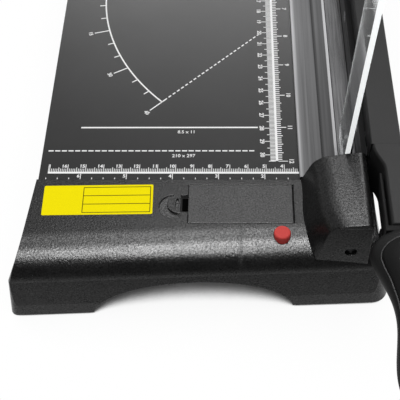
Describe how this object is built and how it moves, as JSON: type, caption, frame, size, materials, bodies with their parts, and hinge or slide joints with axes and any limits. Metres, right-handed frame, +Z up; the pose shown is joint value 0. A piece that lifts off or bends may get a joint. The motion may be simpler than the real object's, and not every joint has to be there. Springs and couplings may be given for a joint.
{
  "type": "paper cutter",
  "caption": "Desk guillotine paper cutter with a ruled table, a long pivoting blade arm, a clear swing guard, a paper clamp and a battery laser line.",
  "frame": {"origin": "on the desk, under the middle of the cutting bed", "axes": "+X to the right across the table, +Y away from the user along the blade, +Z up"},
  "size_m": [0.2255, 0.5128, 0.3341],
  "materials": {
    "cap_plastic": "fine grain moulding",
    "table_paint": "black powder coat with white print",
    "frame_paint": "black powder coat",
    "knife_steel": "ground",
    "clamp_metal": "satin",
    "fence_plastic": "fine grain",
    "arm_metal": "black satin coat",
    "handle_plastic": "satin",
    "grip_rubber": "soft touch",
    "foot_rubber": "matt",
    "guard_clear": "clear polished",
    "lens_clear": "clear",
    "button_red": "gloss",
    "screw_steel": "zinc plated",
    "contact_steel": "nickel plated",
    "cell_wrap": "plain grey wrap",
    "board_resin": "lacquered",
    "switch_plastic": "matt",
    "module_brass": "turned"
  },
  "bodies": {
    "bed": {"table_plate": "table_paint", "base_frame": "frame_paint", "lower_knife": "knife_steel", "knife_screws": "screw_steel", "fence": "fence_plastic", "front_cap": "cap_plastic", "stop_cushion": "foot_rubber", "rear_cap": "cap_plastic", "rubber_feet": "foot_rubber", "circuit_board": "board_resin", "push_switch": "switch_plastic", "battery_tray": "cap_plastic", "batteries": "cell_wrap", "battery_contacts": "contact_steel", "laser_housing": "cap_plastic", "housing_screw": "screw_steel", "laser_lens": "lens_clear", "laser_module": "module_brass", "guard_lug": "knife_steel", "guard_pin": "screw_steel", "pivot_bracket": "frame_paint", "bracket_screws": "screw_steel", "thrust_washer": "screw_steel", "spring_washer": "screw_steel", "pivot_bolt": "screw_steel", "pivot_cover": "cap_plastic"},
    "arm": {"arm_beam": "arm_metal", "blade": "knife_steel", "blade_screws": "screw_steel", "pivot_bush": "module_brass", "handle_root": "handle_plastic", "handle_pins": "screw_steel", "grip": "grip_rubber"},
    "clamp": {"clamp_bar": "clamp_metal", "clamp_pins": "screw_steel"},
    "guard": {"finger_guard": "guard_clear"},
    "button": {"laser_button": "button_red"},
    "door": {"battery_door": "cap_plastic"}
  },
  "joints": [
    {"name": "arm_open", "type": "hinge", "parent": "bed", "child": "arm", "pos_m": [0.08775, 0.1908, 0.06], "axis": [-1, 0, 0], "range_deg": [0, 55]},
    {"name": "clamp_lift", "type": "slide", "parent": "bed", "child": "clamp", "axis": [0, 0, 1], "range_m": [0, 0.004]},
    {"name": "guard_swing", "type": "hinge", "parent": "bed", "child": "guard", "pos_m": [0.07825, -0.1453, 0.065], "axis": [-1, 0, 0], "range_deg": [0, 100]},
    {"name": "button_press", "type": "slide", "parent": "bed", "child": "button", "axis": [0, 0, -1], "range_m": [0, 0.0012], "stiffness_N_per_m": 300},
    {"name": "door_open", "type": "hinge", "parent": "bed", "child": "door", "pos_m": [0.05085, -0.1763, 0.0502], "axis": [0, 1, 0], "range_deg": [0, 97]}
  ],
  "couplings": [
    {"joint": "clamp_lift", "follows": "arm_open", "m_per_rad": 0.004166}
  ]
}
